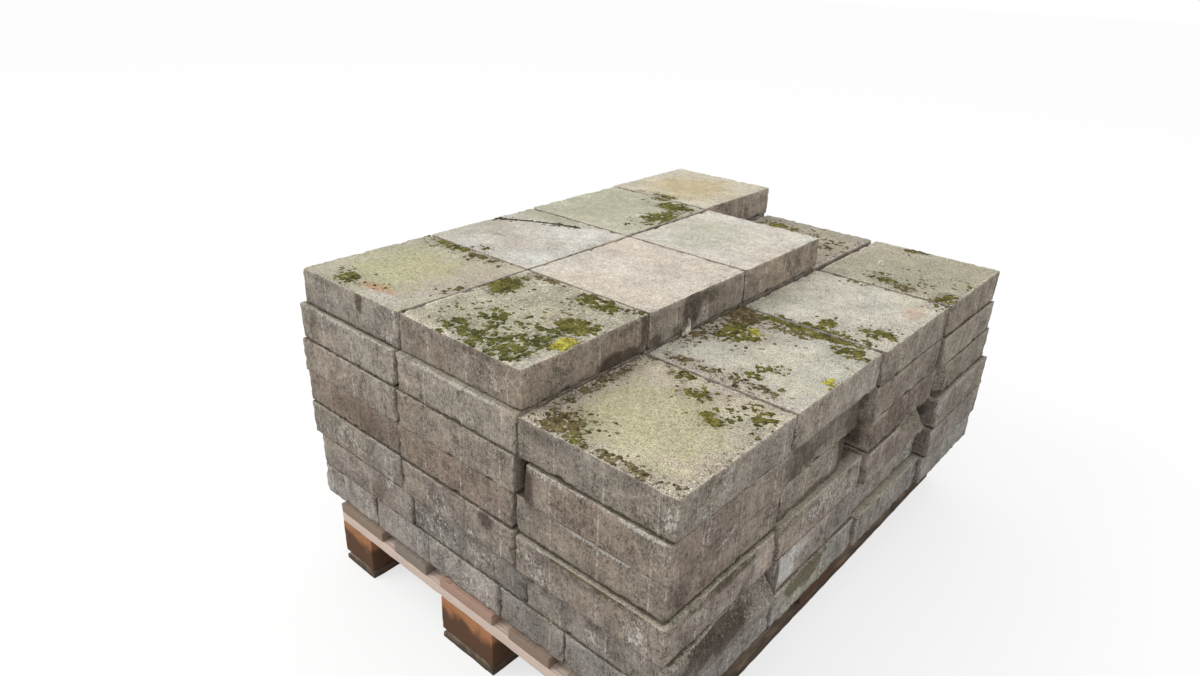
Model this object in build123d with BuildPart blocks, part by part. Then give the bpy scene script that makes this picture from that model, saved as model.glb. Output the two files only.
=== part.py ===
# Concrete paving slabs stacked on a timber pallet, in millimetres
# X runs along the short side, Y along the long side and Z up.
# The origin is the middle of the pallet's underside.
import os

from build123d import *

# Square slab
slab_side = 300
slab_thickness = 72
slab_arris = 3  # bevel round the top face

# Spacer nibs, cast on all four sides and turned so that no two meet
nib_proud = 1.5
nib_width = 5
nib_stop = 10  # from the nib's end to the top face
nib_first = 78  # from a side's left end to its first nib
nib_last = 30  # from a side's right end to its last nib
nib_clearance = 1.0  # from a nib to the slab that it faces

# Stack
column_count = 3
row_count = 4
stack_shift = -11  # from the pallet's middle to the stack's middle, along X
stack_setback = 12  # the same along Y, which leaves the deck's front ends clear of the slabs
short_rows = 3  # rows in the middle column of the top layer
bottom_split = (185, 163, 195, 152, 202)  # relative widths of the bottom layer's pieces

# Pallet boards and blocks
pallet_width = 800
pallet_length = 1200
deck_thickness = 22
stringer_thickness = 22
bottom_thickness = 22
wide_board = 145
narrow_board = 100
stringer_width = 145  # the blocks under a stringer are as long as it is wide
block_height = 78
outer_block = 100
middle_block = 145
bottom_bevel = 12  # on the upper long edges of the bottom boards

# How the layers lie, from the bottom one to the top one.
# columns: how far each is shoved along X; rows and across: how far each row is shoved along Y and X.
# right, left and front: how much further the slabs of that face stand out.
layer_lie = {
    "bottom_slab_layer": dict(rows=(0, 1, 2, 4), across=(0, 3, 9, 18)),
    "slab_layer_2": dict(
        columns=(9, 10, 10),
        rows=(2, 3, 4, 6),
        across=(0, -13, -18, 4),
        right=(0, 0, 0, 9),
        left=(0, 6, 3, 0),
        front=(4, 0, 0),
    ),
    "slab_layer_3": dict(
        columns=(-10, -8, -5),
        rows=(-4, -2, 6, 12),
        across=(0, 0, 6, 14),
        right=(3, 3, 6, 14),
        left=(0, 0, 5, 3),
        front=(0, 3, 6),
    ),
    "slab_layer_4": dict(
        columns=(-15, -13, -13),
        rows=(0, 6, 8, 14),
        across=(0, 0, 6, 12),
        right=(2, 0, 9, 12),
        front=(0, 3, 0),
    ),
    "slab_layer_5": dict(
        columns=(-9, -4, -4),
        rows=(-7, -6, 0, 3),
        across=(0, -7, 3, 6),
        right=(0, 0, 4, 8),
        front=(0, 0, 2),
    ),
    "slab_layer_6": dict(
        columns=(-9, -2, -1), rows=(-3, -1, 2, 5), right=(0, 0, 4.5, 7), left=(0, 3, 6, 0)
    ),
    "top_slab_layer": dict(columns=(1, 2, 2), rows=(7, 7, 8, 10), left=(0, 0, 4, 8)),
}

# Corners that are broken off: layer, column, row, corner (sign of X and Y), the break's reach
# along X and Y on the top face, and how much less of X is gone at the bottom
broken_corners = [
    ("slab_layer_5", 2, 0, (-1, -1), 24, 190, 6),
    ("slab_layer_5", 2, 1, (1, 1), 30, 36, 6),
    ("slab_layer_4", 2, 1, (1, 1), 34, 100, 6),
    ("slab_layer_4", 2, 3, (1, -1), 52, 40, 6),
    ("slab_layer_3", 2, 2, (1, 1), 40, 165, 44),
    ("slab_layer_2", 2, 0, (1, 1), 46, 288, 52),
]

# Sizes that follow from the ones above
joint = nib_proud + nib_clearance
pitch = slab_side + joint
stack_width = column_count * pitch - joint
bottom_top = bottom_thickness
block_top = bottom_top + block_height
stringer_top = block_top + stringer_thickness
deck_top = stringer_top + deck_thickness
deck_gap = (pallet_width - 3 * wide_board - 2 * narrow_board) / 4
end_line = (pallet_length - stringer_width) / 2
side_line = (pallet_width - outer_block) / 2
block_rows = (("front", -end_line), ("middle", 0), ("back", end_line))
block_columns = (
    ("left", -side_line, outer_block),
    ("centre", 0, middle_block),
    ("right", side_line, outer_block),
)

os.makedirs("parts", exist_ok=True)


def keep(part, name):
    part.label = name
    export_step(part, f"parts/{name}.step")


# Where the nibs stand along a side, from its middle; a short side has only the last one
def nib_spots(length):
    last = length / 2 - nib_last
    if length < slab_side:
        return [last]
    first = nib_first - length / 2
    return [first, (first + last) / 2, last]


# One cast slab, its underside at Z = 0 and its middle at the origin
def cast_slab(width, depth):
    with BuildPart() as slab:
        with BuildSketch():
            Rectangle(width, depth)
        extrude(amount=slab_thickness)
        chamfer(slab.faces().sort_by(Axis.Z)[-1].edges(), slab_arris)
        half = nib_width / 2
        outline = [(-half, nib_proud), (-half, 0), (0, -nib_proud), (half, 0), (half, nib_proud)]
        with BuildSketch():
            for turn in (0, 90, 180, 270):
                along, out = (width, depth) if turn % 180 == 0 else (depth, width)
                with Locations(Location((0, 0, 0), (0, 0, turn))):
                    with Locations(*[(spot, -out / 2) for spot in nib_spots(along)]):
                        Polygon(*outline, align=None)
        extrude(amount=slab_thickness - nib_stop)
    return slab.part


# A slab with one corner gone, cut by a plane that leans outward towards the bottom
def break_corner(slab, corner, reach_x, reach_y, lean):
    sx, sy = corner
    half = slab_side / 2
    on_x = Vector(sx * (half - reach_x), sy * half, slab_thickness)
    on_y = Vector(sx * half, sy * (half - reach_y), slab_thickness)
    low = Vector(sx * (half - reach_x + lean), sy * half, 0)
    outward = (on_y - on_x).cross(low - on_x) * sx * sy
    with BuildPart() as piece:
        add(slab)
        split(bisect_by=Plane(origin=on_x, z_dir=outward), keep=Keep.BOTTOM)
    return piece.part


# Shoves of one slab, from its layer's entry
def shove(lie, column, row):
    x = lie["columns"][column]
    y = lie["rows"][row]
    if "across" in lie:
        x += lie["across"][row]
    if column == column_count - 1 and "right" in lie:
        x += lie["right"][row]
    if column == 0 and "left" in lie:
        x -= lie["left"][row]
    if row == 0 and "front" in lie:
        y -= lie["front"][column]
    return x, y


def lay(name, level, pieces):
    with BuildPart() as layer:
        add([slab.moved(Location((x, y, level))) for slab, x, y in pieces])
    keep(layer.part, name)


def square_layer(name, level, slab, rows_in_column):
    pieces = []
    for column, rows in enumerate(rows_in_column):
        for row in range(rows):
            piece = slab
            for of_layer, of_column, of_row, *break_off in broken_corners:
                if (of_layer, of_column, of_row) == (name, column, row):
                    piece = break_corner(piece, *break_off)
            x, y = shove(layer_lie[name], column, row)
            x += stack_shift + (column - (column_count - 1) / 2) * pitch
            y += stack_setback + (row - (row_count - 1) / 2) * pitch
            pieces.append((piece, x, y))
    lay(name, level, pieces)


# The bottom layer: narrower pieces that fill the same width, turned round in every other row
def bottom_layer(name, level):
    filled = stack_width - (len(bottom_split) - 1) * joint
    widths = [filled * share / sum(bottom_split) for share in bottom_split]
    cast = [(cast_slab(width, slab_side), width) for width in widths]
    lie = layer_lie[name]
    pieces = []
    for row in range(row_count):
        y = stack_setback + (row - (row_count - 1) / 2) * pitch + lie["rows"][row]
        left = stack_shift - stack_width / 2 + lie["across"][row]
        for slab, width in cast if row % 2 == 0 else reversed(cast):
            pieces.append((slab, left + width / 2, y))
            left += width + joint
    lay(name, level, pieces)


def stack():
    names = list(layer_lie)
    slab = cast_slab(slab_side, slab_side)
    bottom_layer(names[0], deck_top)
    for number, name in enumerate(names[1:-1], start=1):
        square_layer(name, deck_top + number * slab_thickness, slab, (row_count,) * column_count)
    top_level = deck_top + (len(names) - 1) * slab_thickness
    square_layer(names[-1], top_level, slab, (row_count, short_rows))


# A sawn board or block that stands on the given level
def timber(name, x, y, level, size_x, size_y, size_z):
    with BuildPart() as board:
        with BuildSketch(Plane.XY.offset(level)):
            with Locations((x, y)):
                Rectangle(size_x, size_y)
        extrude(amount=size_z)
    keep(board.part, name)


def deck():
    left = -pallet_width / 2
    widths = (wide_board, narrow_board, wide_board, narrow_board, wide_board)
    for number, width in enumerate(widths, start=1):
        middle = left + width / 2
        timber(f"deck_board_{number}", middle, 0, stringer_top, width, pallet_length, deck_thickness)
        left += width + deck_gap


def stringers_and_blocks():
    for place, y in block_rows:
        timber(f"stringer_board_{place}", 0, y, block_top, pallet_width, stringer_width, stringer_thickness)
        for hand, x, width in block_columns:
            timber(f"block_{place}_{hand}", x, y, bottom_top, width, stringer_width, block_height)


# Bottom boards, bevelled along the top so that forks and wheels slide over them
def bottom_boards():
    for hand, x, width in block_columns:
        with BuildPart() as board:
            with BuildSketch():
                with Locations((x, 0)):
                    Rectangle(width, pallet_length)
            extrude(amount=bottom_thickness)
            upper = board.faces().sort_by(Axis.Z)[-1].edges().filter_by(Axis.Y)
            chamfer(upper, bottom_bevel)
        keep(board.part, f"bottom_board_{hand}")


stack()
deck()
stringers_and_blocks()
bottom_boards()
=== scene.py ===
# Pallet of concrete paving slabs: cast slabs with moss on them, stacked on a sawn timber pallet
# Metres, Z up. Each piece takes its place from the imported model.
from math import radians

import bmesh
import bpy
import numpy as np
from mathutils import Matrix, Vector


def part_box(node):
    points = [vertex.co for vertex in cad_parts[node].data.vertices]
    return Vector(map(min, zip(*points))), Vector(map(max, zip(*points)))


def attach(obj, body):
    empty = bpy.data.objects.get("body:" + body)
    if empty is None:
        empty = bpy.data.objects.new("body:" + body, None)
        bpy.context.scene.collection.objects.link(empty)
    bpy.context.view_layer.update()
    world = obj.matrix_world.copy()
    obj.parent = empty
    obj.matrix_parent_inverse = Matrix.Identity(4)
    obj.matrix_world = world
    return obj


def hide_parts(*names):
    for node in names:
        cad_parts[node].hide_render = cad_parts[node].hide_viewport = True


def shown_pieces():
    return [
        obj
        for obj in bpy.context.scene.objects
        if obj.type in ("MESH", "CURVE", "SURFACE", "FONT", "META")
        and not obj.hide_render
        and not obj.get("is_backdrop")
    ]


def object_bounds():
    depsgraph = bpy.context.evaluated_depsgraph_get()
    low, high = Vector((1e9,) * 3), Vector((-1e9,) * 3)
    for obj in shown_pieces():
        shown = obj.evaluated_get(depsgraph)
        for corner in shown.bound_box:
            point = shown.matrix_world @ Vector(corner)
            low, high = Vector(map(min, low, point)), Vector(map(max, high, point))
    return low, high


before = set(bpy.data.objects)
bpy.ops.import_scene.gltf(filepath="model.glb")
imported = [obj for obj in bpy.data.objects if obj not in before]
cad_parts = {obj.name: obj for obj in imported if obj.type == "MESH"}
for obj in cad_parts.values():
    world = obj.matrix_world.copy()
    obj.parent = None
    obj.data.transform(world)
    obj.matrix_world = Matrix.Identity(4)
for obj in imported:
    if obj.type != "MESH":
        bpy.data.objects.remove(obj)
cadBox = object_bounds()
mm = 0.001
print("frame loaded:", len(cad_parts), "nodes")


# Colours are picked as a screen shows them, 0 to 255
def screen(red, green, blue):
    picked = np.array([red, green, blue]) / 255
    return np.where(picked <= 0.04045, picked / 12.92, ((picked + 0.055) / 1.055) ** 2.4)


# Smooth noise from 0 to 1 that is the same on every run
def softNoise(points, size, seed=0, octaves=3):
    total = weights = 0
    for octave in range(octaves):
        scaled = points / (size / 2**octave) + (seed * 7.31 + octave * 3.7)
        cell = np.floor(scaled).astype(np.int64)
        share = scaled - cell
        share = share * share * (3 - 2 * share)
        value = 0
        for corner in range(8):
            step = np.array([corner & 1, corner >> 1 & 1, corner >> 2])
            spot = (cell + step) * [73856093, 19349663, 83492791]
            mixed = spot[:, 0] ^ spot[:, 1] ^ spot[:, 2] ^ (seed * 26544357)
            mixed = ((mixed ^ (mixed >> 13)) * 60493) & 0x7FFFFFFF
            mixed = ((mixed ^ (mixed >> 11)) * 19990303) & 0x7FFFFFFF
            value = value + np.prod(np.where(step, share, 1 - share), axis=1) * (mixed >> 8 & 4095) / 4095
        total = total + value / 2**octave
        weights += 1 / 2**octave
    return total / weights


def ease(value, low, high):
    share = np.clip((value - low) / (high - low), 0, 1)
    return share * share * (3 - 2 * share)


def lengthOf(vectors):
    return np.sqrt((vectors**2).sum(axis=1))


# Shaders

class Wire:
    def __init__(self, tree, socket=None):
        self.tree = tree
        self.socket = socket

    # Any node: its type, its settings, its socket values or links, and which output is wanted
    def node(self, kind, settings=None, values=None, output=0):
        made = self.tree.nodes.new(kind)
        for name, value in (settings or {}).items():
            if name == "stops":
                while len(made.color_ramp.elements) < len(value):
                    made.color_ramp.elements.new(0.5)
                for element, (position, colour) in zip(made.color_ramp.elements, value):
                    element.position = position
                    element.color = (*colour, 1)
            else:
                setattr(made, name, value)
        for name, value in (values or {}).items():
            if isinstance(value, Wire):
                self.tree.links.new(value.socket, made.inputs[name])
            else:
                made.inputs[name].default_value = value
        return Wire(self.tree, made.outputs[output] if made.outputs else None)

    def maths(self, operation, first, second=0.0):
        return self.node("ShaderNodeMath", {"operation": operation}, {0: first, 1: second})

    def __add__(self, other):
        return self.maths("ADD", self, other)

    def __sub__(self, other):
        return self.maths("SUBTRACT", self, other)

    def __rsub__(self, other):
        return self.maths("SUBTRACT", other, self)

    def __mul__(self, other):
        return self.maths("MULTIPLY", self, other)

    __radd__ = __add__
    __rmul__ = __mul__

    def step(self, low, high):
        return self.node(
            "ShaderNodeMapRange",
            {"interpolation_type": "SMOOTHSTEP"},
            {"Value": self, "From Min": low, "From Max": high},
        )

    # Colours: the mix of two, by a factor
    def blend(self, factor, first, second, mode="MIX"):
        sockets = {0: factor}
        for number, colour in ((6, first), (7, second)):
            sockets[number] = colour if isinstance(colour, Wire) else (*colour, 1)
        return self.node("ShaderNodeMix", {"data_type": "RGBA", "blend_type": mode}, sockets, 2)

    def stretch(self, x, y, z):
        return self.node("ShaderNodeVectorMath", {"operation": "MULTIPLY"}, {0: self, 1: (x, y, z)})

    def noise(self, size, detail=3.0, roughness=0.5):
        return self.node(
            "ShaderNodeTexNoise", {}, {"Vector": self, "Scale": 1 / size, "Detail": detail, "Roughness": roughness}
        )

    # The same place pushed about by noise, so that a pattern loses its regular shapes
    def bend(self, size, amount):
        sway = self.node("ShaderNodeTexNoise", {}, {"Vector": self, "Scale": 1 / size, "Detail": 2.0}, 1)
        return self.node(
            "ShaderNodeVectorMath", {"operation": "MULTIPLY_ADD"}, {0: sway, 1: (amount, amount, amount), 2: self}
        )

    def cells(self, size, output="Distance"):
        return self.node("ShaderNodeTexVoronoi", {}, {"Vector": self, "Scale": 1 / size}, output)

    def painted(self, name, output="Color"):
        return self.node("ShaderNodeAttribute", {"attribute_name": name}, {}, output)

    def parts(self):
        split = self.tree.nodes.new("ShaderNodeSeparateColor")
        self.tree.links.new(self.socket, split.inputs[0])
        return [Wire(self.tree, output) for output in split.outputs]


def newFinish(name):
    material = bpy.data.materials.new(name)
    material.use_nodes = True
    material.node_tree.nodes.clear()
    return material, Wire(material.node_tree)


def closeFinish(wire, values):
    shader = wire.node("ShaderNodeBsdfPrincipled", {}, values)
    wire.node("ShaderNodeOutputMaterial", {}, {"Surface": shader})


def castConcrete():
    look = {"grain": 2.4 * mm, "sand": 3.1 * mm, "pebble": 5.6 * mm, "striation": 2.8 * mm, "relief": 2.3 * mm}
    material, wire = newFinish("castConcrete")
    place = wire.node("ShaderNodeTexCoord", output="Object")
    tint = wire.painted("tint")
    lichen, moss, grit = wire.painted("growth").parts()
    damp, pale, drag = wire.painted("stain").parts()

    cloud = place.noise(60 * mm, 3, 0.55)
    mottle = place.noise(24 * mm, 4, 0.6)
    patchy = place.noise(8 * mm, 4, 0.65)
    fine = place.noise(look["grain"], 3, 0.75)
    drawn = place.stretch(1, 1, 0.5).noise(look["striation"], 4, 0.8)
    streaks = place.stretch(1, 1, 0.09).noise(5 * mm, 3, 0.5)
    body = fine * (1 - drag * 0.6) + drawn * drag * 0.6  # drawn marks run up the sides, where the mould was lifted off
    bent = place.bend(9 * mm, 6 * mm)

    # Stones of one size: where they show, and a tone for each
    def stones(size, share):
        tone = wire.node("ShaderNodeRGBToBW", {}, {0: bent.cells(size, "Color")})
        return (share + tone * 0.16 - bent.cells(size)).step(0, 0.12), tone

    pebble, pebbleTone = stones(look["pebble"], 0.06 + 0.36 * grit)
    sand, sandTone = stones(look["sand"], 0.16 + 0.18 * grit)

    shade = 1 + (body - 0.5) * (2.9 + 1.4 * drag) + (patchy - 0.5) * (1.0 + 0.9 * drag)
    shade = shade + (mottle - 0.5) * (0.5 + 1.0 * drag) + (cloud - 0.5) * (0.35 + 1.0 * drag)
    shade = shade + (streaks - 0.5) * drag * 0.6
    shade = wire.maths("MAXIMUM", shade, 0.25)
    colour = wire.blend(1.0, tint, wire.node("ShaderNodeCombineColor", {}, {0: shade, 1: shade, 2: shade}), "MULTIPLY")
    colour = wire.blend((1 - pebble) * grit * 0.5, colour, screen(118, 110, 88))
    colour = wire.blend(sand * sandTone.step(0.5, 0.6) * (0.4 + 0.35 * grit), colour, screen(226, 219, 202))
    colour = wire.blend(sand * (1 - sandTone.step(0.36, 0.44)) * (0.45 + 0.2 * grit), colour, screen(104, 96, 82))
    colour = wire.blend(pebble * pebbleTone.step(0.38, 0.5) * (0.25 + 0.4 * grit), colour, screen(218, 211, 193))
    colour = wire.blend(pebble * (1 - pebbleTone.step(0.3, 0.36)) * 0.5, colour, screen(112, 104, 92))
    pit = (1 - body.step(0.33, 0.42)) * (0.3 + 0.5 * grit + 0.5 * drag)
    colour = wire.blend(pit * 0.75, colour, screen(62, 56, 50))
    scrape = (body * 0.7 + streaks * 0.3).step(0.57, 0.67) * drag
    colour = wire.blend(scrape * 0.5, colour, screen(196, 188, 176))

    # Pale: chalky bloom, and the painted highlight along the spacer ridges
    bloom = (pale + (patchy - 0.5) * 1.6 + (body - 0.5) * 1.6).step(0.42, 0.76)
    chalk = wire.blend(body.step(0.36, 0.62), screen(160, 153, 143), screen(230, 227, 221))
    colour = wire.blend(bloom * 0.78, colour, chalk)
    film = (lichen + (patchy - 0.5) * 1.1 + (body - 0.5) * 1.3).step(0.2, 1.0)
    powder = wire.blend((fine * 0.5 + patchy * 0.5).step(0.38, 0.6), screen(158, 157, 108), screen(212, 209, 166))
    colour = wire.blend(film * 0.62, colour, powder)
    # Damp stains darken the colour here; the same channel also carries painted shade in the joints, in the gaps between
    # slabs and round a slab lying on top
    soak = (damp + (mottle - 0.5) * 1.1 + (patchy - 0.5) * 1.7 + (body - 0.5) * 1.1).step(0.36, 0.84) * damp.step(0, 0.2)
    colour = wire.blend(soak * 0.86, colour, screen(130, 120, 110), "MULTIPLY")
    crust = (moss + (patchy - 0.5) * 2.2 + (body - 0.5) * 1.7).step(0.5, 0.62) * moss.step(0, 0.15)
    tuft = wire.blend(body.step(0.35, 0.62), screen(62, 58, 38), screen(118, 109, 72))
    colour = wire.blend(crust * 0.82, colour, tuft)

    height = body * 0.7 + pebble * (0.1 + grit * 0.7) + sand * 0.25 - pit * 0.5 + crust * 0.4 + patchy * 0.4
    bump = wire.node(
        "ShaderNodeBump", {}, {"Strength": 1.0, "Distance": look["relief"], "Height": height}
    )
    closeFinish(wire, {
        "Base Color": colour,
        "Roughness": 0.82 + 0.12 * body,
        "Specular IOR Level": 0.3,
        "Normal": bump,
    })
    return material


def mossCushion():
    material, wire = newFinish("mossCushion")
    place = wire.node("ShaderNodeTexCoord", output="Object")
    tint = wire.painted("tint")
    fluff = place.noise(2.4 * mm, 4, 0.85)
    clump = place.noise(9 * mm, 3, 0.6)
    shade = wire.maths("MAXIMUM", (fluff - 0.5) * 3.2 + (clump - 0.5) * 2.0 + 1, 0.3)
    colour = wire.blend(1.0, tint, wire.node("ShaderNodeCombineColor", {}, {0: shade, 1: shade, 2: shade}), "MULTIPLY")
    bump = wire.node("ShaderNodeBump", {}, {"Strength": 0.9, "Distance": 1.2 * mm, "Height": fluff})
    closeFinish(wire, {"Base Color": colour, "Roughness": 0.95, "Specular IOR Level": 0.15, "Normal": bump})
    return material


def sawnTimber():
    look = {"ringPitch": 3.2 * mm, "fibre": 1.1 * mm}
    material, wire = newFinish("sawnTimber")
    along = wire.painted("grain", "Vector")  # x and y across the log from its heart, z along it
    fresh = wire.painted("tint")
    grey, damp, cut = wire.painted("stain").parts()

    sway = along.stretch(1, 1, 0.12).noise(30 * mm, 3, 0.55)
    across = along.stretch(1, 1, 0)
    radius = wire.node("ShaderNodeVectorMath", {"operation": "LENGTH"}, {0: across}, "Value")
    rings = wire.maths("FRACT", (radius + sway * 0.012) * (1 / look["ringPitch"]))
    late = rings.step(0.45, 0.95) * (1 - rings.step(0.95, 1.0))
    fibre = along.stretch(1, 1, 0.03).noise(look["fibre"], 3, 0.6)
    blotch = along.stretch(1, 1, 0.3).noise(22 * mm, 3, 0.6)

    shade = 0.72 + 0.3 * fibre + 0.28 * blotch
    colour = wire.blend(1.0, fresh, wire.node("ShaderNodeCombineColor", {}, {0: shade, 1: shade, 2: shade}), "MULTIPLY")
    colour = wire.blend(late * 0.55, colour, wire.blend(0.62, colour, screen(104, 66, 38)))
    weathered = (grey + (blotch - 0.5) * 0.7).step(0.2, 0.8)
    silver = wire.blend(fibre.step(0.3, 0.7), screen(112, 103, 93), screen(168, 158, 146))
    silver = wire.blend(late * 0.35, silver, screen(84, 76, 68))
    colour = wire.blend(weathered * 0.85, colour, silver)
    soak = (damp + (blotch - 0.5) * 0.8).step(0.3, 0.8)
    colour = wire.blend(soak * 0.8, colour, screen(58, 46, 36))
    height = fibre * 0.6 - late * 0.35 + blotch * 0.3
    bump = wire.node("ShaderNodeBump", {}, {"Strength": 0.6, "Distance": 0.7 * mm, "Height": height})
    closeFinish(wire, {
        "Base Color": colour,
        "Roughness": 0.72 + 0.2 * fibre,
        "Specular IOR Level": 0.3,
        "Normal": bump,
    })
    return material


concrete = castConcrete()
moss = mossCushion()
timber = sawnTimber()
print("finishes made")


# Meshes

# Grid lines across a side: close together near its ends, evenly spaced between, and on the given spots
def gridLines(length, spacing, ends, spots=()):
    half = length / 2
    reach = max(ends)
    inner = np.linspace(-half + reach, half - reach, max(2, int(round((length - 2 * reach) / spacing)) + 1))
    for spot in spots:
        inner = inner[np.abs(inner - spot) > 3.4 * mm]
    extra = [spot + shift for spot in spots for shift in (-2.5 * mm, 0, 2.5 * mm)]
    edges = [-half + end for end in ends[:-1]] + [half - end for end in ends[:-1]]
    return np.unique(np.round(np.concatenate([inner, extra, edges]), 6))


# The six sides of a box as quads on grid lines. A side with a border keeps quads only that near
# its edges, and one flat face closes its middle.
def boxFaces(lines, borders):
    counts = [len(line) for line in lines]
    ids = np.arange(np.prod(counts)).reshape(counts)
    quads, fills = [], []
    for axis, other, third in ((2, 0, 1), (1, 0, 2), (0, 1, 2)):
        for end, sign in ((0, -1), (counts[axis] - 1, 1)):
            side = np.take(ids, end, axis=axis)
            border = borders[axis, sign]
            turned = sign < 0 if axis != 1 else sign > 0
            cell = np.stack([side[:-1, :-1], side[1:, :-1], side[1:, 1:], side[:-1, 1:]], axis=-1)
            if border is not None:
                keeps = []
                for line in (lines[other], lines[third]):
                    low = max(1, int(np.searchsorted(line, line[0] + border)))
                    high = max(1, len(line) - 1 - int(np.searchsorted(line, line[-1] - border, "right")) + 1)
                    keeps.append((low, high) if low + high < len(line) - 1 else None)
                if None not in keeps:
                    (a, b), (c, d) = keeps
                    middle = side[a:side.shape[0] - b, c:side.shape[1] - d]
                    loop = np.concatenate([middle[:-1, 0], middle[-1, :-1], middle[:0:-1, -1], middle[0, :0:-1]])
                    fills.append(loop[::-1] if turned else loop)
                    inside = np.zeros(cell.shape[:2], bool)
                    inside[a:side.shape[0] - b - 1, c:side.shape[1] - d - 1] = True
                    cell = cell[~inside]
            cell = cell.reshape(-1, 4)
            quads.append(cell[:, ::-1] if turned else cell)
    quads = np.concatenate(quads)
    used = np.unique(quads)
    order = np.full(ids.size, -1)
    order[used] = np.arange(len(used))
    at = np.unravel_index(used, counts)
    points = np.stack([lines[axis][at[axis]] for axis in range(3)], axis=1)
    return points, order[quads], [order[loop] for loop in fills]


def newMesh(name, points, quads, fills=()):
    mesh = bpy.data.meshes.new(name)
    mesh.from_pydata(points, [], quads.tolist() + [loop.tolist() for loop in fills])
    smooth = np.ones(len(mesh.polygons), bool)
    smooth[len(quads):] = False
    mesh.polygons.foreach_set("use_smooth", smooth)
    return mesh


def paint(mesh, name, channels):
    colours = np.ones((len(mesh.vertices), 4), np.float32)
    for number, channel in enumerate(channels):
        colours[:, number] = channel
    made = mesh.attributes.new(name, "FLOAT_COLOR", "POINT")
    made.data.foreach_set("color", colours.ravel())


def place(name, mesh, finish, nodes, slot=None):
    mesh.materials.append(finish)
    piece = bpy.data.objects.new(name, mesh)
    bpy.context.scene.collection.objects.link(piece)
    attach(piece, "root")
    if nodes:
        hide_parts(*nodes)
    return piece


# Rounds the edges of a box: its upright corners, and the edges of its top and its underside.
# Returns the points, the way out at each, and its distance from an edge.
def roundEdges(points, half, corner, arris, lowArris):
    inner = np.clip(points[:, :2], corner - half[:2], half[:2] - corner)
    out = points[:, :2] - inner
    length = np.maximum(lengthOf(out), 1e-9)
    square = np.abs(out).max(axis=1)
    way = out / length[:, None]
    rounded = points.copy()
    rounded[:, :2] = inner + way * square[:, None]
    inset = np.min(half[:2] - np.abs(points[:, :2]), axis=1)
    reach = np.where(points[:, 2] > 0, arris, lowArris)
    depth = half[2] - np.abs(points[:, 2])
    lean = np.stack([np.clip(1 - inset / reach, 0, 1), np.clip(1 - depth / reach, 0, 1)], axis=1)
    lean = lean / np.maximum(lengthOf(lean), 1e-9)[:, None]
    both = (inset < reach) & (depth < reach)
    rounded[both, :2] -= (way * (reach * (1 - lean[:, 0]) - inset)[:, None])[both]
    rounded[both, 2] -= (np.sign(points[:, 2]) * (reach * (1 - lean[:, 1]) - depth))[both]
    normal = np.concatenate([way * lean[:, :1], (np.sign(points[:, 2]) * lean[:, 1])[:, None]], axis=1)
    edge = np.sort(half - np.abs(points), axis=1)[:, 1]
    return rounded, normal, edge


# Slabs

slabCast = {
    "corner": 3.5 * mm,
    "arris": 3.0 * mm,
    "lowArris": 2.2 * mm,
    "nibProud": 1.5 * mm,
    "nibWidth": 5 * mm,
    "nibStop": 10 * mm,  # below the top face
    "nibFirst": 78 * mm,
    "nibLast": 30 * mm,
    "openSpacing": 6.0 * mm,
    "hiddenSpacing": 24 * mm,
    "crumble": 3.6 * mm,
    "topWear": 1.4 * mm,  # off the open tops, which leaves room for the moss
    "chips": 14,
}

stackGrid = {"front": -591.75 * mm, "pitch": 302.5 * mm}
layerNames = [
    "bottom_slab_layer", "slab_layer_2", "slab_layer_3", "slab_layer_4", "slab_layer_5", "slab_layer_6",
    "top_slab_layer",
]

# Corners that are broken off, in mm: layer, row, column, corner, the reach along X and Y on top,
# and how much less of X is gone at the bottom
brokenCorners = [
    ("slab_layer_5", 1, 3, (-1, -1), 24, 190, 6),
    ("slab_layer_5", 2, 3, (1, 1), 30, 36, 6),
    ("slab_layer_4", 2, 3, (1, 1), 34, 100, 6),
    ("slab_layer_4", 4, 3, (1, -1), 52, 40, 6),
    ("slab_layer_3", 3, 3, (1, 1), 40, 165, 44),
    ("slab_layer_2", 1, 3, (1, 1), 46, 288, 52),
]


# The separate solids of a node, as boxes from their lowest to their highest corner
def solidBoxes(node):
    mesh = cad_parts[node].data
    points = np.empty(len(mesh.vertices) * 3)
    mesh.vertices.foreach_get("co", points)
    points, same = np.unique(points.reshape(-1, 3).round(5), axis=0, return_inverse=True)
    edges = np.empty(len(mesh.edges) * 2, int)
    mesh.edges.foreach_get("vertices", edges)
    edges = same.ravel()[edges].reshape(-1, 2)
    label = np.arange(len(points))
    while True:
        lowest = np.minimum(label[edges[:, 0]], label[edges[:, 1]])
        changed = label.copy()
        np.minimum.at(changed, edges[:, 0], lowest)
        np.minimum.at(changed, edges[:, 1], lowest)
        if (changed == label).all():
            break
        label = changed
    return [(points[label == k].min(0), points[label == k].max(0)) for k in np.unique(label)]


# Every slab: its layer, row and column from the near left corner, its middle and its size
def findSlabs():
    slabs = []
    for number, layer in enumerate(layerNames):
        found = []
        for low, high in solidBoxes(layer):
            middle = (low + high) / 2
            row = int((middle[1] - stackGrid["front"]) / stackGrid["pitch"]) + 1
            found.append((row, middle[0], low, high))
        found.sort(key=lambda item: item[:2])
        counts = {}
        for row, _, low, high in found:
            counts[row] = counts.get(row, 0) + 1
            column = counts[row]
            proud = np.array([slabCast["nibProud"], slabCast["nibProud"], 0])
            low, high = low + proud, high - proud
            slabs.append({
                "layer": layer, "level": number, "row": row, "column": column,
                "low": low, "high": high, "middle": (low + high) / 2, "half": (high - low) / 2,
            })
    return slabs


def overlap(one, other, axis):
    return min(one["high"][axis], other["high"][axis]) - max(one["low"][axis], other["low"][axis])


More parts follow.
